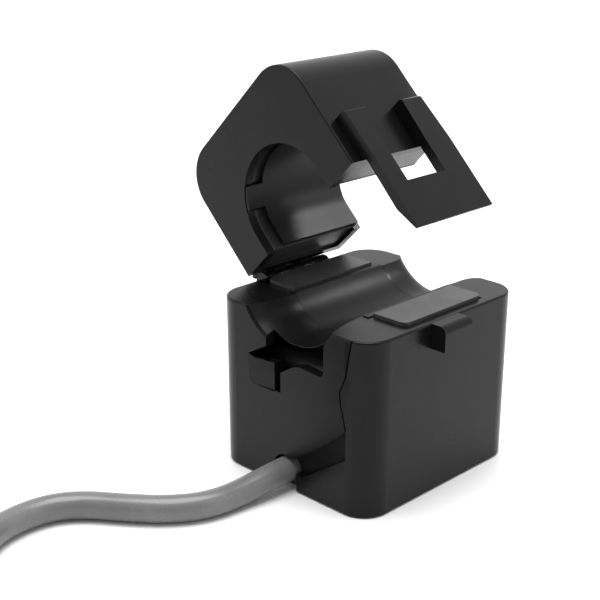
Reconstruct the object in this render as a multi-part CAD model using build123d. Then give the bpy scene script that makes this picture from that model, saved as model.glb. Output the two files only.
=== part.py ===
from build123d import *
import math
import os

# Clip-on (split-core) current transformer, lid open.
# Origin: centre of the flat underside of the base. +Z up, the conductor
# channel runs along Y, the lid is hinged on the left (-X) and latches on
# the right (+X), the cable leaves the front (-Y).  Millimetres.

# ---------------------------------------------------------------- base
W = 31.0            # base width
D = 34.2            # base depth
H = 27.15           # base height, just under the parting plane
PART_Z = 27.2       # parting plane
R_CORNER = 4.3      # vertical corner radius
WALL_X = 1.4        # side walls
WALL_Y = 1.6        # front and back walls
ROOF = 1.35         # thickness of the top faces beside the poles
COVER_T = 1.0       # bottom cover
DRAFT = 0.35        # outward lean of the walls, degrees

# ---------------------------------------------------------------- bore
R_BORE = 8.0        # conductor bore, 16 mm across
BORE_Z = PART_Z + 4.2
T_LINER = 0.9
R_NOTCH = 9.85      # mouth of the channel in the end walls of the base
NOTCH_Z = 32.2

# ---------------------------------------------------------------- core
POLE_X0, POLE_X1 = 8.05, 14.05
CORE_Y0, CORE_Y1 = -7.85, 9.70
POLE_UP = 0.5       # how far the lower poles stand over the parting plane
YOKE_Z0, YOKE_Z1 = 8.5, 14.5

# ---------------------------------------------------------------- lid
LID_W = 30.5
LID_H = 20.45
LID_X0 = -15.45     # hinge side of the lid
LID_Y0, LID_Y1 = -9.5, 11.3
LID_R = 6.2
LID_WALL = 1.15
ARCH_R = 8.95
ARCH_Z = PART_Z + 3.5
LID_OPEN = 45.0     # opening angle of the rest position

# ---------------------------------------------------------------- hinge
HX, HZ = -16.6, 26.1
R_KNUCKLE = 1.45
R_PIN = 0.70
R_HOOD = (1.63, 2.30)   # cover rail of the lid over the knuckles
HINGE_Y = [-6.4, -4.0, -1.1, 1.8, 4.7, 7.7]

# ---------------------------------------------------------------- latch
TONGUE_OUT = 2.25   # outer face proud of the lid
TONGUE_T = 1.55     # thickness of the free plate
TONGUE_TIP = 12.6   # reach below the parting plane
CATCH_OUT = 2.7

# ---------------------------------------------------------------- cable
D_CABLE = 4.0
EXIT = (-0.7, -D / 2, 3.05)
COIL_C = (-30.0, -84.0)
COIL_R = [26.1, 22.0, 17.9]                 # radii of the turns: three on the floor, three on those
COIL_RISE = 4.1

LEAD_ROUTE = [      # from inside the base to the coil
    (-0.70, -14.60, 3.05),
    (-0.75, -20.20, 2.85),
    (-1.40, -25.60, 2.00),
    (-2.00, -31.30, 2.00),
    (-4.90, -35.90, 2.00),
    (-9.60, -39.90, 2.00),
    (-14.50, -43.40, 2.00),
    (-17.20, -47.20, 2.00),
    (-18.00, -51.90, 2.00),
    (-17.20, -57.00, 2.00),
    (-14.30, -61.60, 2.00),
    (-10.60, -66.30, 2.00),
    (-7.00, -72.20, 2.00),
    (-4.40, -79.20, 2.00),
]
TAIL_POLAR = [      # (angle, radius from the coil's centre, height): the last turn, on top of the others
    (-175.0, 26.20, 6.90),
    (-199.0, 25.20, 9.20),
    (-223.0, 23.20, 10.35),
    (-247.0, 22.30, 10.25),
    (-271.0, 22.30, 10.25),
    (-295.0, 22.30, 10.25),
    (-319.0, 22.30, 10.25),
    (-343.0, 22.30, 10.25),
    (-367.0, 22.30, 10.25),
    (-391.0, 22.30, 10.25),
    (-415.0, 22.30, 10.25),
    (-439.0, 22.40, 10.25),
    (-460.0, 22.20, 10.20),
]
TAIL_ROUTE = [(COIL_C[0] + r * math.cos(math.radians(a)), COIL_C[1] + r * math.sin(math.radians(a)), z)
              for a, r, z in TAIL_POLAR]

os.makedirs("parts", exist_ok=True)
parts = {}


def block(x0, x1, y0, y1, z0, z1):
    return Pos((x0 + x1) / 2, (y0 + y1) / 2, (z0 + z1) / 2) * Box(x1 - x0, y1 - y0, z1 - z0)


def ycyl(x, z, r, y0, y1):
    return Pos(x, (y0 + y1) / 2, z) * (Rot(90, 0, 0) * Cylinder(r, y1 - y0))


def prism_y(pts, y0, y1):
    """polygon given in X,Z swept along Y"""
    f = make_face(Polyline(*[(x, y0, z) for x, z in pts], close=True))
    return extrude(f, amount=y1 - y0, dir=(0, 1, 0))


def prism_x(pts, x0, x1):
    """polygon given in Y,Z swept along X"""
    f = make_face(Polyline(*[(x0, y, z) for y, z in pts], close=True))
    return extrude(f, amount=x1 - x0, dir=(1, 0, 0))


def slab(x0, x1, y0, y1, r, z0, z1):
    """plate with rounded plan corners"""
    s = Pos((x0 + x1) / 2, (y0 + y1) / 2, z0) * extrude(RectangleRounded(x1 - x0, y1 - y0, r), z1 - z0)
    return s


def cone_y(y0, r0, z0, y1, r1, z1, ya, yb):
    """cone along Y through the circles (y0, r0, z0) and (y1, r1, z1), from ya to yb"""
    def at(y):
        t = (y - y0) / (y1 - y0)
        return Plane(origin=(0, y, z0 + (z1 - z0) * t), x_dir=(1, 0, 0), z_dir=(0, 1, 0)) * Circle(r0 + (r1 - r0) * t)
    return loft([at(ya).face(), at(yb).face()], ruled=True)


def bell(ya, yb, over, grade=2):
    """smooth mouth along Y: the bore at ya, widening like a bell to the rim at yb and a little past it"""
    cuts = []
    for t in (-0.01, 0.2, 0.4, 0.6, 0.8, 1.0, 1.0 + over) if grade == 2 else (-0.01, 0.3, 0.5, 0.65, 0.8, 0.9, 1.0, 1.0 + over):
        k = max(t, 0.0) ** grade
        o = (0, ya + (yb - ya) * t, BORE_Z + (NOTCH_Z - BORE_Z) * k)
        c = Plane(origin=o, x_dir=(1, 0, 0), z_dir=(0, 1, 0)) * Circle(R_BORE + 0.02 + (R_NOTCH - R_BORE - 0.02) * k)
        cuts.append(c.face())
    if yb < ya:
        cuts.reverse()
    return loft(cuts)


def one(s):
    """a single solid out of a boolean result"""
    ss = s.solids() if hasattr(s, "solids") else [s]
    ss = sorted(ss, key=lambda a: a.volume, reverse=True)
    return ss[0]


def opened(s):
    """swing a lid piece from closed to its rest position"""
    return s.rotate(Axis((HX, 0, HZ), (0, -1, 0)), LID_OPEN)


def tube(route, r, radii_of):
    """straight runs joined by tangent arcs"""
    pts = [Vector(*p) for p in route]
    radii = radii_of(pts)
    path = FilletPolyline(*pts, radius=radii)
    t0 = (pts[1] - pts[0]).normalized()
    prof = Plane(origin=pts[0], z_dir=t0) * Circle(r)
    s = sweep(prof, path=path)
    return one(s), path.length, radii


def free_radii(pts):
    out = []
    for a, b, c in zip(pts, pts[1:], pts[2:]):
        u, v = b - a, c - b
        turn = u.get_angle(v)
        out.append(0.45 * min(u.length, v.length) / math.tan(math.radians(turn) / 2))
    return out


# ====================================================== base shell
outer = extrude(RectangleRounded(W, D, R_CORNER), H, taper=-DRAFT)
outer = fillet(outer.edges().filter_by(lambda e: abs(e.center().Z - H) < 1e-3), 0.35)
outer = chamfer(outer.edges().filter_by(lambda e: abs(e.center().Z) < 1e-3), 0.3)

room = slab(-W / 2 + WALL_X, W / 2 - WALL_X, -D / 2 + WALL_Y, D / 2 - WALL_Y, 2.9, -1, H - ROOF)
# trough walls of the flared mouths; in front they thin out towards the window
FLARE_Y, FLARE_B = CORE_Y0 - 0.95, CORE_Y1 + 1.05
room -= cone_y(-15.48, 9.33, 31.92, -13.3, 9.75, 31.63, -15.6, -13.3)
room -= cone_y(-13.3, 9.75, 31.63, FLARE_Y, 9.15, BORE_Z, -13.31, FLARE_Y)
room -= cone_y(FLARE_B, 9.15, BORE_Z, D / 2, R_NOTCH + 1.1, NOTCH_Z, FLARE_B, D / 2)
shell = outer - room
# the channel: at both ends a flared mouth that runs down to the liner, its front rim broken
shell -= bell(FLARE_Y, -D / 2, 0.12)
shell -= bell(FLARE_B, D / 2, 0.12, 6)     # at the back it widens only close to the rim
shell -= cone_y(-D / 2 - 0.14, R_NOTCH + 0.35, NOTCH_Z, -D / 2 + 0.21, R_NOTCH - 0.02, NOTCH_Z, -D / 2 - 1, -D / 2 + 0.21)
# seats of the liner and of the two poles
shell -= block(-POLE_X0 - 0.05, POLE_X0 + 0.05, CORE_Y0 - 0.95, CORE_Y1 + 1.05, 19.0, H + 1)
shell -= block(-POLE_X1 - 0.05, POLE_X1 + 0.05, CORE_Y0 - 0.05, CORE_Y1 + 0.05, 19.0, H + 1)

# front window under the channel, with the slanted shoulders and the slot
window = [(-8.35, 19.62), (-7.00, 19.22), (-4.20, 19.45), (-2.75, 19.60), (-2.75, 15.20), (-1.50, 15.20),
          (-1.50, 18.40), (0.70, 19.80), (1.55, 20.22), (2.50, 20.40), (6.20, 20.15), (6.80, 20.30), (7.15, 20.80),
          (7.15, 29.0), (-4.50, 29.0), (-4.50, 21.80)]
shell -= prism_y(window, -D / 2 - 1, -D / 2 + WALL_Y + 0.02)
# snap tab left of the slot, leaning in towards the slot, its lower ledge showing
tab = make_face(Polyline((-8.35, -D / 2 - 0.11, 15.0), (-2.80, -D / 2 + 0.20, 15.0), (-2.80, -D / 2 - 1, 15.0), (-8.35, -D / 2 - 1, 15.0), close=True))
shell -= extrude(tab, amount=4.4, dir=(0, 0, 1))

# seam of the front insert, a fine groove that steps in and out
seam = [(12.40, 27.30), (11.85, 24.3), (11.40, 21.5), (10.90, 20.3), (10.30, 19.0), (10.50, 17.1), (11.10, 15.0), (11.50, 13.3)]
sw = 0.12
seam_poly = [(x - sw, z) for x, z in seam] + [(x + sw, z) for x, z in reversed(seam)]
shell -= prism_y(seam_poly, -D / 2 - 1, -D / 2 + 0.16)

# slanted cable recess and the exit notch
recess = [(2.25, 0.0 + 2.9), (3.0, 2.95), (11.45, 8.75), (11.5, 13.25), (11.0, 12.75), (10.0, 11.85),
          (6.5, 9.05), (2.4, 6.3), (0.3, 5.05), (0.3, 2.9)]
shell -= prism_y(recess, -D / 2 - 1, -D / 2 + 1.15)
shell -= ycyl(EXIT[0], EXIT[2], D_CABLE / 2 + 0.35, -D, -D / 2 + WALL_Y + 0.5)
shell -= block(EXIT[0] - D_CABLE / 2 - 0.35, EXIT[0] + D_CABLE / 2 + 0.35, -D, -D / 2 + WALL_Y + 0.5, -1, EXIT[2])

# latch catch with a rounded upper lip
catch = block(W / 2 - 0.3, W / 2 + CATCH_OUT, -4.0, 2.15, 23.3, 27.1)
catch = fillet(catch.edges().filter_by(Axis.Y).sort_by(lambda e: e.center().X + e.center().Z)[-1:], 1.1)

# hinge: three fixed knuckles on webs, room for the lid's two
for y0, y1 in ((HINGE_Y[1], HINGE_Y[2]), (HINGE_Y[3], HINGE_Y[4])):
    shell -= ycyl(HX, HZ, R_KNUCKLE + 0.21, y0 - 0.05, y1 + 0.05)
shell = shell + catch
for y0, y1 in ((HINGE_Y[0], HINGE_Y[1]), (HINGE_Y[2], HINGE_Y[3]), (HINGE_Y[4], HINGE_Y[5])):
    a, b = y0 + 0.08, y1 - 0.08
    web = prism_y([(-W / 2 + 0.6, 21.3), (-W / 2, 21.3), (HX - 1.2, HZ - 0.8), (HX, HZ), (-W / 2, 26.9), (-W / 2 + 0.6, 26.9)], a, b)
    shell = shell + (ycyl(HX, HZ, R_KNUCKLE, a, b) + web)
# bore of the pin, closed at the front
shell -= ycyl(HX, HZ, R_PIN + 0.02, HINGE_Y[0] + 0.5, HINGE_Y[-1] + 1)
parts["base_shell"] = one(shell)

# ====================================================== bottom cover
cover = slab(-W / 2 + WALL_X + 0.05, W / 2 - WALL_X - 0.05, -D / 2 + WALL_Y + 0.05, D / 2 - WALL_Y - 0.05, 2.85, 0, COVER_T)
# four snap lugs that stand inside the walls
for sx in (-1, 1):
    for yy in (-8.0, 9.0):
        x1 = sx * (W / 2 - WALL_X - 0.05)
        cover += block(min(x1, x1 - sx * 0.9), max(x1, x1 - sx * 0.9), yy - 2, yy + 2, COVER_T - 0.1, 2.9)
parts["bottom_cover"] = one(cover)

# ====================================================== channel liner
ly0, ly1 = CORE_Y0 - 0.9, CORE_Y1 + 1.0
liner = ycyl(0, BORE_Z, R_BORE + T_LINER, ly0, ly1) - ycyl(0, BORE_Z, R_BORE, ly0 - 1, ly1 + 1)
liner &= block(-POLE_X0, POLE_X0, ly0 - 1, ly1 + 1, 0, PART_Z + 0.1)
parts["channel_liner"] = one(liner)

# ====================================================== lower core
core = block(-POLE_X1, POLE_X1, CORE_Y0, CORE_Y1, YOKE_Z0, PART_Z + POLE_UP)
core -= block(-POLE_X0, POLE_X0, CORE_Y0 - 1, CORE_Y1 + 1, YOKE_Z1, 40)
core = fillet(core.edges().filter_by(Axis.Y).sort_by(Axis.Z)[:2], 2.0)
core = fillet(core.edges().filter_by(Axis.Z).filter_by(lambda e: abs(e.center().X) > POLE_X1 - 0.1), 1.2)
parts["lower_core"] = one(core)

# ====================================================== bobbin and winding
by0, by1, bz0, bz1 = CORE_Y0 - 0.05, CORE_Y1 + 0.05, YOKE_Z0 - 0.05, YOKE_Z1 + 0.05
BW = 0.8            # bobbin wall
FL = 0.9            # flange thickness
BX = POLE_X0 - 0.1  # half length between the legs
WT = 3.5            # winding depth


def ring_x(x0, x1, grow_out, grow_in, r):
    o = Pos((x0 + x1) / 2, (by0 + by1) / 2, (bz0 + bz1) / 2) * Rot(0, 90, 0)
    a = extrude(RectangleRounded((bz1 - bz0) + 2 * grow_out, (by1 - by0) + 2 * grow_out, r), x1 - x0)
    b = extrude(Rectangle((bz1 - bz0) + 2 * grow_in, (by1 - by0) + 2 * grow_in), x1 - x0 + 2)
    a = Pos(0, 0, -(x1 - x0) / 2) * a
    b = Pos(0, 0, -(x1 - x0) / 2 - 1) * b
    return o * (a - b)


bob = ring_x(-BX, BX, BW, 0, 0.5)
for sx in (-1, 1):
    xa, xb = sorted((sx * BX, sx * (BX - FL)))
    bob += ring_x(xa, xb, BW + WT + 0.7, 0, 1.2)
# pin bars on the front of the flanges
for sx in (-1, 1):
    xa, xb = sorted((sx * BX, sx * (BX - 2.0)))
    bob += block(xa, xb, by0 - BW - WT - 1.3, by0 - BW - WT - 0.5, 5.0, 9.0)
pins = None
for sx in (-1, 1):
    p = Pos(sx * (BX - 1.0), by0 - BW - WT - 1.5, 7.0) * (Rot(90, 0, 0) * Cylinder(0.35, 2.0))
    bob -= p
    pins = p if pins is None else pins + p
parts["bobbin"] = one(bob)
parts["terminal_pins"] = pins

wind = ring_x(-(BX - FL), BX - FL, BW + WT, BW, 1.6)
parts["secondary_winding"] = one(wind)
tape = ring_x(-(BX - FL), BX - FL, BW + WT + 0.2, BW, 1.8) - ring_x(-(BX - FL) - 0.01, BX - FL + 0.01, BW + WT, 0, 1.6)
tape -= block(-BX, BX, by0, by1, bz0, bz1)
parts["winding_tape"] = one(tape)

# ====================================================== cable clamp and inner leads
cy0, cy1 = -D / 2 + WALL_Y + 0.55, -D / 2 + WALL_Y + 1.75
clamp = block(-3.4, 3.0, cy0, cy1, COVER_T, 6.2)
clamp -= ycyl(EXIT[0], EXIT[2], D_CABLE / 2, cy0 - 1, cy1 + 1)

zc = EXIT[2]
lead_start_y = LEAD_ROUTE[0][1]
for name, sx, in (("lead_wire_s1", -1), ("lead_wire_s2", 1)):
    x0 = EXIT[0] + sx * 0.75
    px = sx * (BX - 1.0)
    route = [
        (x0, lead_start_y + 0.02, zc + 0.2),
        (x0 + sx * 0.10, lead_start_y + 1.15, zc + 0.3),
        (x0 + sx * 2.0, lead_start_y + 1.20, zc + 1.9),
        (px, by0 - BW - WT - 1.9, 6.0),
    ]
    s, ln, rr = tube(route, 0.42, lambda p: [0.5, 0.9])
    clamp -= s
    parts[name] = s

# ====================================================== hinge pin
parts["hinge_pin"] = one(ycyl(HX, HZ, R_PIN, HINGE_Y[0] + 0.55, HINGE_Y[-1] - 0.1))

# ====================================================== lid (built closed)
lz0, lz1 = PART_Z + 0.06, PART_Z + LID_H


def arch_cut(half, r, zc_, y0, y1, zlow):
    c = ycyl(0, zc_, r, y0, y1)
    return c + block(-half, half, y0, y1, zlow, zc_)


def hood(x0, x1, z0, z1, r, y0, y1):
    """block with two rounded upper corners"""
    b = block(x0, x1, y0, y1, z0, z1)
    return fillet(b.edges().filter_by(Axis.Y).sort_by(Axis.Z)[-2:], r)


lid = hood(LID_X0, LID_W / 2, lz0, lz1, LID_R, LID_Y0, LID_Y1)
lid = fillet(lid.edges().filter_by(lambda e: abs(e.center().Y - LID_Y0) < 1e-3 and e.center().Z > lz0 + 0.5), 0.3)
lid = fillet(lid.edges().filter_by(lambda e: abs(e.center().Y - LID_Y1) < 1e-3 and e.center().Z > lz0 + 0.5), 0.3)
cav = hood(-LID_W / 2 + LID_WALL, LID_W / 2 - LID_WALL, lz0 - 2, lz1 - 1.2, LID_R - 1.2, CORE_Y0 - 0.1, CORE_Y1 + 0.1)
lid -= cav
lid -= arch_cut(ARCH_R, ARCH_R, ARCH_Z, LID_Y0 - 1, LID_Y1 + 1, lz0 - 1)
for y0, y1 in ((HINGE_Y[1], HINGE_Y[2]), (HINGE_Y[3], HINGE_Y[4])):
    a, b = y0 + 0.08, y1 - 0.08
    arm = prism_y([(-LID_W / 2 + 0.5, lz0), (-LID_W / 2 + 0.5, 30.0), (-LID_W / 2, 30.0), (HX - 1.22, HZ + 0.78), (HX, HZ), (-LID_W / 2, lz0)], a, b)
    lid = lid + (ycyl(HX, HZ, R_KNUCKLE, a, b) + arm)
    lid -= ycyl(HX, HZ, R_PIN + 0.06, a - 0.5, b + 0.5)
# relief under the back wall at the latch side, clear of the pole
lid -= block(ARCH_R - 0.5, LID_W / 2 - LID_WALL, CORE_Y1 - 0.1, LID_Y1 + 1, lz0 - 1, PART_Z + 2.2)
# cover rail over the knuckles
rail = ycyl(HX, HZ, R_HOOD[1], HINGE_Y[0], HINGE_Y[-1]) - ycyl(HX, HZ, R_HOOD[0], HINGE_Y[0] - 1, HINGE_Y[-1] + 1)
fan = [(HX, HZ)] + [(HX + 4 * math.cos(math.radians(a)), HZ + 4 * math.sin(math.radians(a))) for a in (48, 90, 130)]
lid += rail & prism_y(fan, HINGE_Y[0] - 1, HINGE_Y[-1] + 1)
parts["lid_shell"] = opened(one(lid))

# ====================================================== lid liner
ll0, ll1 = -6.2, 10.5
lin = arch_cut(R_BORE + T_LINER, R_BORE + T_LINER, BORE_Z, ll0, ll1, PART_Z + 0.75)
lin -= arch_cut(R_BORE, R_BORE, BORE_Z, ll0 - 1, ll1 + 1, PART_Z - 2)
lin &= block(-20, 20, -20, 20, PART_Z + 0.75, 60)
# trimmed to the arch where it passes the back wall
lin -= (block(-12, 12, CORE_Y1 + 0.02, 12, 20, 60)
        - arch_cut(ARCH_R - 0.04, ARCH_R - 0.04, ARCH_Z, CORE_Y1 - 1, 13, PART_Z - 3))
# thin front edge
lin -= (arch_cut(R_BORE + T_LINER + 0.1, R_BORE + T_LINER + 0.1, BORE_Z, ll0 - 0.1, ll0 + 0.6, PART_Z - 2)
        - arch_cut(R_BORE + 0.3, R_BORE + 0.3, BORE_Z, ll0 - 0.2, ll0 + 0.7, PART_Z - 3))
# bridge between the liner's front end and the arch
bridge = ycyl(0, BORE_Z, R_BORE + T_LINER, LID_Y0 + 0.12, ll0 + 1.0) - ycyl(0, BORE_Z, R_BORE, LID_Y0 - 1, ll0 + 2)
bridge &= block(-9.0, -4.5, LID_Y0, ll0 + 1.0, PART_Z + 7.3, PART_Z + 10.2)
bridge &= ycyl(0, ARCH_Z, ARCH_R - 0.03, LID_Y0, ll0 + 1)
lin = lin + bridge
parts["lid_liner"] = opened(one(lin))

# ====================================================== upper core
ucore = hood(-POLE_X1, POLE_X1, PART_Z + 0.56, PART_Z + LID_H - 2.4, 4.9, CORE_Y0, CORE_Y1)
ucore -= arch_cut(R_BORE + 1.0, R_BORE + 1.0, BORE_Z, CORE_Y0 - 1, CORE_Y1 + 1, PART_Z - 2)
parts["upper_core"] = opened(one(ucore))

# ====================================================== core spring
zs = PART_Z + LID_H - 2.4
arc_lo = ThreePointArc((-8.5, -3, zs + 0.05), (0, -3, zs + 0.82), (8.5, -3, zs + 0.05))
arc_hi = ThreePointArc((8.5, -3, zs + 0.30), (0, -3, zs + 1.07), (-8.5, -3, zs + 0.30))
sp_face = make_face([arc_lo, Line((8.5, -3, zs + 0.05), (8.5, -3, zs + 0.30)), arc_hi, Line((-8.5, -3, zs + 0.30), (-8.5, -3, zs + 0.05))])
spring = extrude(sp_face, amount=7.8, dir=(0, 1, 0))
parts["core_spring"] = opened(one(spring))

# ====================================================== latch tongue
tx0, tx1 = LID_W / 2, LID_W / 2 + TONGUE_OUT
ti = tx1 - TONGUE_T
P = PART_Z
side = [(tx0, P + 7.3), (tx1 - 0.35, P + 7.3), (tx1, P + 6.95), (tx1, P - TONGUE_TIP), (tx1 - 0.35, P - TONGUE_TIP),
        (ti, P - TONGUE_TIP + 3.9), (ti, P - 0.25), (tx0, P - 0.0 + 0.1)]
ton = prism_y(side, -12, 12)
ton &= prism_x([(-7.65, P + 8), (-7.45, P - 0.6), (-7.85, P - TONGUE_TIP - 1), (8.95, P - TONGUE_TIP - 1), (9.15, P - 0.6), (8.65, P + 8)], tx0 - 1, tx1 + 1)
ton -= prism_x([(-2.95, P + 8), (4.55, P + 8), (4.15, P + 0.0), (4.05, P - 5.5), (-4.2, P - 5.5), (-4.2, P + 0.0)], tx0 - 1, tx1 + 1)
parts["latch_tongue"] = opened(one(ton))

# ====================================================== cable
jacket, lead_len, lead_radii = tube(LEAD_ROUTE, D_CABLE / 2, free_radii)
parts["cable_jacket"] = jacket
clamp = one(clamp - jacket)
parts["cable_clamp"] = clamp
for name in ("lead_wire_s1", "lead_wire_s2"):
    parts[name] = one(parts[name] - jacket)

cx, cy = COIL_C
r_in, r_out = COIL_R[-1] - 2, COIL_R[0] + 2
zt = D_CABLE + COIL_RISE
prof = Polyline((r_in, 0, 1.0), (r_in + 1.0, 0, 0), (r_out - 1.0, 0, 0), (r_out, 0, 1.0), (r_out, 0, zt - 1.0),
                (r_out - 1.0, 0, zt), (r_in + 1.0, 0, zt), (r_in, 0, zt - 1.0), close=True)
coil = revolve(make_face(prof), Axis.Z, 360)
coil = one(Pos(cx, cy, 0) * coil)

# tie round the coil at its far side, pulled over the last turn, its head outside
TIE_ANG = -50.0
tie_out = prism_y([(r_in - 0.85, 0), (r_out + 0.85, 0), (r_out + 0.85, 8.2), (24.9, 13.1), (19.1, 13.1), (r_in - 0.85, 8.7)], -1.3, 1.3)
tie_in = prism_y([(r_in - 0.05, 0.5), (r_out + 0.05, 0.5), (r_out + 0.05, 7.9), (24.6, 12.4), (19.4, 12.4), (r_in - 0.05, 8.3)], -4, 4)
tie = tie_out - tie_in
tie += fillet(block(r_out + 0.5, r_out + 3.1, -2.1, 2.1, 2.2, 6.6).edges().filter_by(Axis.Z), 0.4)
tie += block(r_out + 1.6, r_out + 2.4, -1.2, 1.2, 6.5, 8.4)
tie = one(Pos(cx, cy, 0) * Rot(0, 0, TIE_ANG) * one(tie))
coil = one(coil - tie)
parts["cable_coil"] = coil
parts["cable_tie"] = tie

tail, tail_len, tail_radii = tube(TAIL_ROUTE, D_CABLE / 2, free_radii)
parts["cable_tail"] = tail

# bare ends of the two cores, each with a crimped ferrule
end = Vector(*TAIL_ROUTE[-1])


def on_coil(a, r, z):
    return (cx + r * math.cos(math.radians(a)), cy + r * math.sin(math.radians(a)), z)


ferr = None
for name, s in (("wire_end_s1", 1), ("wire_end_s2", -1)):
    rt = [on_coil(-460.0, 22.1 + 0.85 * s, 10.15), on_coil(-472.0, 22.0 + 1.25 * s, 9.8),
          on_coil(-485.0, 21.9 + 2.1 * s, 9.15), on_coil(-499.0, 21.9 + 2.7 * s, 8.95)]
    w, wl, wr = tube(rt, 0.7, free_radii)
    parts[name] = one(w - tail)
    e, c = Vector(*rt[-1]), Vector(*rt[-2])
    fdir = Vector(e.X - c.X, e.Y - c.Y, 0).normalized()
    f = Plane(origin=e + Vector(0, 0, 0.15), z_dir=fdir) * (Pos(0, 0, 1.0) * Cylinder(0.95, 2.0) + Pos(0, 0, 4.4) * Cylinder(0.6, 4.8))
    f = one(one(f) - w)
    ferr = f if ferr is None else ferr + f
parts["end_ferrules"] = ferr

# ====================================================== report and export
turns = 2 * math.pi * (2 * sum(COIL_R) - COIL_R[0] * (360 - 205) / 360)
sec = math.pi * (D_CABLE / 2) ** 2
print("lead radii", [round(r, 1) for r in lead_radii])
print("tail radii", [round(r, 1) for r in tail_radii])
print("lead length %.1f volume ratio %.4f" % (lead_len, jacket.volume / (sec * lead_len)))
print("tail length %.1f volume ratio %.4f" % (tail_len, tail.volume / (sec * tail_len)))
print("turns %.1f total cable %.1f" % (turns, lead_len + turns + tail_len))

for name, s in parts.items():
    export_step(s, "parts/%s.step" % name)
print(len(parts), "nodes")
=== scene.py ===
import math
import bpy
from mathutils import Vector, Matrix


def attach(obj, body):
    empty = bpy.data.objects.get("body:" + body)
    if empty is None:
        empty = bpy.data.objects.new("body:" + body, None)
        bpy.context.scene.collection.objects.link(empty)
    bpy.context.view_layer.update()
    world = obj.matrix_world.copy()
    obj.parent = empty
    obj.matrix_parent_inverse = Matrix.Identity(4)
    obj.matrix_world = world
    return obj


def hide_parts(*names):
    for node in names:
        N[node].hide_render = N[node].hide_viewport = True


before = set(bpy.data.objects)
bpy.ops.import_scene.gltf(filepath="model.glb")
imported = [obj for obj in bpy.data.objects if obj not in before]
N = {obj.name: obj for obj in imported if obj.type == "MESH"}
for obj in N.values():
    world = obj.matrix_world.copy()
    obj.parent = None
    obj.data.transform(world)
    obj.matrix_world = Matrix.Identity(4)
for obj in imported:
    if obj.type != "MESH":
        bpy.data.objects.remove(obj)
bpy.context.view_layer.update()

MM = 0.001

# ------------------------------------------------------------------ camera
AZ, EL = math.radians(44.936), math.radians(19.694)
back = Vector((math.sin(AZ) * math.cos(EL), -math.cos(AZ) * math.cos(EL), math.sin(EL)))
right = Vector((math.cos(AZ), math.sin(AZ), 0.0))
up = back.cross(right)
target = Vector((0, 0, 0.020)) + right * (-10.359 * MM) + up * (5.364 * MM)
cam_data = bpy.data.cameras.new("camera")
cam_data.sensor_width = 36.0
cam_data.sensor_height = 36.0
cam_data.sensor_fit = "HORIZONTAL"
cam_data.lens = 1255.434 / 600.0 * 36.0
cam_data.clip_start = 0.005
cam_data.clip_end = 20.0
cam = bpy.data.objects.new("camera", cam_data)
bpy.context.scene.collection.objects.link(cam)
cam.location = target + back * (192.724 * MM)
cam.rotation_mode = "QUATERNION"
cam.rotation_quaternion = Matrix((right, up, back)).transposed().to_quaternion()
bpy.context.scene.camera = cam

# ------------------------------------------------------------------ cord
D_CABLE = 4.0
COIL_C = (-30.0, -84.0)
LEAD = [
    (-0.70, -14.60, 3.05),
    (-0.75, -20.20, 2.85),
    (-1.40, -25.60, 2.00),
    (-2.00, -31.30, 2.00),
    (-4.90, -35.90, 2.00),
    (-9.60, -39.90, 2.00),
    (-14.50, -43.40, 2.00),
    (-17.20, -47.20, 2.00),
    (-18.00, -51.90, 2.00),
    (-17.20, -57.00, 2.00),
    (-14.30, -61.60, 2.00),
    (-10.60, -66.30, 2.00),
    (-7.00, -72.20, 2.00),
]
TAIL = [
    (-175.0, 26.20, 6.90),
    (-199.0, 25.20, 9.20),
    (-223.0, 23.20, 10.35),
    (-247.0, 22.30, 10.25),
    (-271.0, 22.30, 10.25),
    (-295.0, 22.30, 10.25),
    (-319.0, 22.30, 10.25),
    (-343.0, 22.30, 10.25),
    (-367.0, 22.30, 10.25),
    (-391.0, 22.30, 10.25),
    (-415.0, 22.30, 10.25),
    (-439.0, 22.40, 10.25),
    (-460.0, 22.20, 10.20),
]
TURN_R = [26.1, 22.0, 17.9, 17.9, 22.0, 26.1]
TURN_Z = [2.0, 2.0, 2.0, 6.1, 6.1, 6.1]


def polar(a, r, z):
    return (COIL_C[0] + r * math.cos(math.radians(a)), COIL_C[1] + r * math.sin(math.radians(a)), z)


def smooth(u):
    return u * u * (3 - 2 * u)


pts = list(LEAD)
STEP = 15.0
K = 1.0 / 0.9915            # a ring of control points runs just outside its curve
a = -20.0
while a > -360.0 * 5 - 192.0:
    n, rest = divmod(-a, 360.0)
    n = int(n)
    r, z = TURN_R[n], TURN_Z[n]
    if rest > 270.0:
        u = smooth(min(1.0, (rest - 270.0) / 60.0))
        r = r + (TURN_R[n + 1] - r) * u
        if TURN_Z[n + 1] != z and rest < 330.0:
            r -= 2.3 * math.sin(math.pi * (rest - 270.0) / 60.0) ** 0.7
        z = z + (TURN_Z[n + 1] - z) * u
    pts.append(polar(a + 30.0, r * K, z))
    a -= STEP
pts += [polar(*t) for t in TAIL]

curve = bpy.data.curves.new("cable", "CURVE")
curve.dimensions = "3D"
spl = curve.splines.new("NURBS")
spl.points.add(len(pts) - 1)
for p, q in zip(spl.points, pts):
    p.co = (q[0] * MM, q[1] * MM, q[2] * MM, 1.0)
    p.radius = D_CABLE / 2 * MM
spl.order_u = 3
spl.use_endpoint_u = True
spl.resolution_u = 6
curve.resolution_u = 6
curve.bevel_depth = 1.0        # times the points' radius, half the diameter
curve.bevel_resolution = 6
curve.use_fill_caps = True
cable = bpy.data.objects.new("cable", curve)
bpy.context.scene.collection.objects.link(cable)
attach(cable, "base")
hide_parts("cable_jacket", "cable_coil", "cable_tail")


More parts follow.
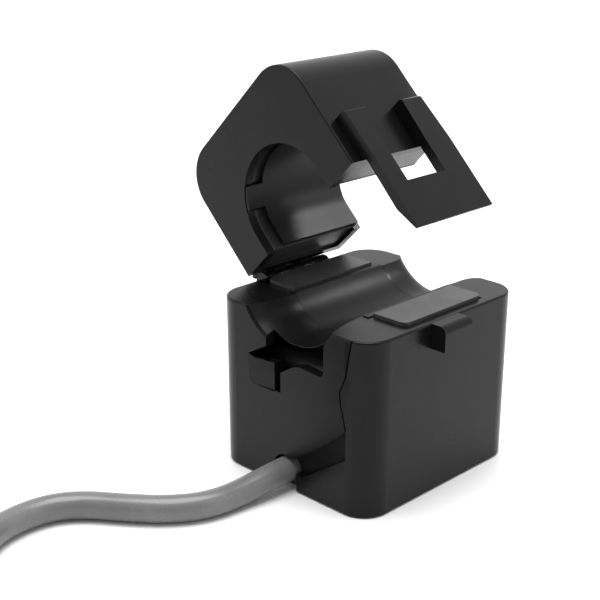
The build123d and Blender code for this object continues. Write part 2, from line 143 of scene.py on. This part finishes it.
# ------------------------------------------------------------------ materials
class Mat:
    """small helper around a Principled node tree"""

    def __init__(self, name, **const):
        self.m = bpy.data.materials.new(name)
        self.m.use_nodes = True
        self.nt = self.m.node_tree
        self.b = self.nt.nodes["Principled BSDF"]
        for k, v in const.items():
            self.b.inputs[k].default_value = v
        self.tc = self.nt.nodes.new("ShaderNodeTexCoord")

    def node(self, kind, **props):
        n = self.nt.nodes.new(kind)
        for k, v in props.items():
            if k in n.inputs.keys():
                n.inputs[k].default_value = v
            else:
                setattr(n, k, v)
        return n

    def link(self, a, b):
        self.nt.links.new(a, b)

    def noise(self, scale, detail=4.0, rough=0.55, stretch=None):
        src = self.tc.outputs["Object"]
        if stretch:
            mp = self.node("ShaderNodeMapping")
            mp.inputs["Scale"].default_value = stretch
            self.link(src, mp.inputs["Vector"])
            src = mp.outputs["Vector"]
        n = self.node("ShaderNodeTexNoise", Scale=scale, Detail=detail, Roughness=rough)
        self.link(src, n.inputs["Vector"])
        return n.outputs["Fac"]

    def ramp(self, fac, stops):
        r = self.node("ShaderNodeValToRGB")
        el = r.color_ramp.elements
        el[0].position, el[0].color = stops[0][0], (*stops[0][1], 1)
        el[1].position, el[1].color = stops[-1][0], (*stops[-1][1], 1)
        for p, c in stops[1:-1]:
            e = el.new(p)
            e.color = (*c, 1)
        self.link(fac, r.inputs["Fac"])
        return r.outputs["Color"]

    def span(self, fac, lo, hi):
        r = self.node("ShaderNodeMapRange")
        r.inputs["From Min"].default_value = 0.3
        r.inputs["From Max"].default_value = 0.7
        r.inputs["To Min"].default_value = lo
        r.inputs["To Max"].default_value = hi
        self.link(fac, r.inputs["Value"])
        return r.outputs["Result"]

    def bump(self, height, strength, dist):
        b = self.node("ShaderNodeBump")
        b.inputs["Strength"].default_value = strength
        b.inputs["Distance"].default_value = dist
        self.link(height, b.inputs["Height"])
        self.link(b.outputs["Normal"], self.b.inputs["Normal"])


def grey(v):
    return (v, v, v * 1.03)


def plastic(name, lo, hi, r0, r1, bump=0.12, grain=2600.0, spec=0.5):
    m = Mat(name)
    m.b.inputs["Specular IOR Level"].default_value = spec
    m.link(m.ramp(m.noise(220.0, 3.0), [(0.3, lo), (0.7, hi)]), m.b.inputs["Base Color"])
    m.link(m.span(m.noise(90.0, 4.0), r0, r1), m.b.inputs["Roughness"])
    m.bump(m.noise(grain, 2.0), bump, 0.00002)
    return m.m


SPEC = 0.17
housing = plastic("housing_black", grey(0.0030), grey(0.0045), 0.25, 0.31, bump=0.05, spec=SPEC)
latch = plastic("latch_black", grey(0.0030), grey(0.0045), 0.25, 0.30, bump=0.05, spec=SPEC)
liner = plastic("liner_black", grey(0.0030), grey(0.0045), 0.34, 0.40, bump=0.05, spec=SPEC)
cover = plastic("cover_black", grey(0.006), grey(0.010), 0.45, 0.55, bump=0.2)
nylon = plastic("bobbin_black", grey(0.006), grey(0.010), 0.40, 0.5)
tie_m = plastic("tie_nylon", grey(0.02), grey(0.03), 0.40, 0.5)
jacket = plastic("cable_grey", (0.132, 0.133, 0.135), (0.157, 0.158, 0.160), 0.24, 0.30, bump=0.1, grain=1800.0)
white_w = plastic("wire_white", (0.70, 0.70, 0.68), (0.8, 0.8, 0.78), 0.35, 0.45)
black_w = plastic("wire_black", grey(0.02), grey(0.03), 0.35, 0.45)

core = Mat("core_ground", **{"Metallic": 0.8})
core.link(core.ramp(core.noise(400.0, 3.0), [(0.3, grey(0.085)), (0.7, grey(0.105))]), core.b.inputs["Base Color"])
core.link(core.span(core.noise(120.0, 4.0), 0.36, 0.44), core.b.inputs["Roughness"])
core.bump(core.noise(2500.0, 3.0), 0.08, 0.00002)

metal = Mat("steel_bright", **{"Metallic": 1.0})
metal.link(metal.ramp(metal.noise(300.0), [(0.3, grey(0.5)), (0.7, grey(0.62))]), metal.b.inputs["Base Color"])
metal.link(metal.span(metal.noise(150.0), 0.22, 0.34), metal.b.inputs["Roughness"])

copper = Mat("winding_copper", **{"Metallic": 0.9})
wv = copper.node("ShaderNodeTexWave", Scale=1400.0, Distortion=0.3)
wv.bands_direction = "X"
copper.link(copper.tc.outputs["Object"], wv.inputs["Vector"])
copper.link(copper.ramp(wv.outputs["Fac"], [(0.1, (0.30, 0.10, 0.035)), (0.8, (0.62, 0.25, 0.10))]), copper.b.inputs["Base Color"])
copper.link(copper.span(copper.noise(150.0), 0.25, 0.35), copper.b.inputs["Roughness"])
copper.bump(wv.outputs["Fac"], 0.4, 0.00005)

tape = plastic("tape_black", grey(0.030), grey(0.045), 0.30, 0.40)

look = {
    "base_shell": housing, "lid_shell": housing, "latch_tongue": latch, "bottom_cover": cover,
    "channel_liner": liner, "lid_liner": liner, "lower_core": core.m, "upper_core": core.m,
    "bobbin": nylon, "secondary_winding": copper.m, "winding_tape": tape, "terminal_pins": metal.m,
    "lead_wire_s1": white_w, "lead_wire_s2": black_w, "wire_end_s1": white_w, "wire_end_s2": black_w,
    "cable_clamp": cover, "hinge_pin": metal.m, "core_spring": metal.m, "cable_tie": tie_m,
    "end_ferrules": metal.m, "cable_jacket": jacket, "cable_coil": jacket, "cable_tail": jacket,
}
for name, ob in N.items():
    ob.data.materials.clear()
    ob.data.materials.append(look[name])
curve.materials.append(jacket)

# ------------------------------------------------------------------ floor and light
floor_me = bpy.data.meshes.new("floor")
S = 3.0
floor_me.from_pydata([(-S, -S, -0.00001), (S, -S, -0.00001), (S, S, -0.00001), (-S, S, -0.00001)], [], [(0, 1, 2, 3)])
floor = bpy.data.objects.new("floor", floor_me)
bpy.context.scene.collection.objects.link(floor)
fl = Mat("floor_white", **{"Roughness": 0.45})
fl.link(fl.ramp(fl.noise(3.0), [(0.3, (0.90, 0.90, 0.90)), (0.7, (0.92, 0.92, 0.92))]), fl.b.inputs["Base Color"])
floor_me.materials.append(fl.m)

WORLD_HI, WORLD_LO = 1.15, 0.30
world = bpy.data.worlds.new("studio")
bpy.context.scene.world = world
world.use_nodes = True
bg = world.node_tree.nodes["Background"]
bg.inputs["Color"].default_value = (1, 1, 1, 1)
# white surround, dim on the side that the picture is taken from
wn = world.node_tree.nodes
wl = world.node_tree.links
w_dir = wn.new("ShaderNodeTexCoord")
w_dot = wn.new("ShaderNodeVectorMath")
w_dot.operation = "DOT_PRODUCT"
w_dot.inputs[1].default_value = (0.62, -0.62, 0.48)
w_map = wn.new("ShaderNodeMapRange")
w_map.interpolation_type = "SMOOTHSTEP"
w_map.inputs["From Min"].default_value = 0.62
w_map.inputs["From Max"].default_value = 0.90
w_map.inputs["To Min"].default_value = WORLD_HI
w_map.inputs["To Max"].default_value = WORLD_LO
wl.new(w_dir.outputs["Generated"], w_dot.inputs[0])
wl.new(w_dot.outputs["Value"], w_map.inputs["Value"])
wl.new(w_map.outputs["Result"], bg.inputs["Strength"])


def area(name, loc, look_at, sx, sy, power):
    d = bpy.data.lights.new(name, "AREA")
    d.shape = "RECTANGLE"
    d.size, d.size_y = sx, sy
    d.energy = power
    o = bpy.data.objects.new(name, d)
    bpy.context.scene.collection.objects.link(o)
    o.location = loc
    o.rotation_mode = "QUATERNION"
    o.rotation_quaternion = (Vector(look_at) - Vector(loc)).to_track_quat("-Z", "Y")
    return o


area("top_soft", (0.0, 0.0, 0.85), (0, 0, 0.02), 0.6, 0.6, 7.5)


def spot(name, loc, look_at, power, angle):
    d = bpy.data.lights.new(name, "SPOT")
    d.energy = power
    d.spot_size = math.radians(angle)
    d.spot_blend = 1.0
    d.shadow_soft_size = 0.012
    o = bpy.data.objects.new(name, d)
    bpy.context.scene.collection.objects.link(o)
    o.location = loc
    o.rotation_mode = "QUATERNION"
    o.rotation_quaternion = (Vector(look_at) - Vector(loc)).to_track_quat("-Z", "Y")


# two small lamps behind the lid give its liner the bright rear half
spot("liner_spot_high", (0.0115, 0.0485, 0.0790), (-0.0095, 0.0110, 0.0370), 0.62, 10)
spot("liner_spot_low", (0.0241, 0.0460, 0.0584), (-0.0150, 0.0115, 0.0385), 0.15, 9)

bpy.context.scene.view_settings.view_transform = "Standard"
bpy.context.scene.view_settings.look = "None"
bpy.context.scene.view_settings.exposure = 0.0
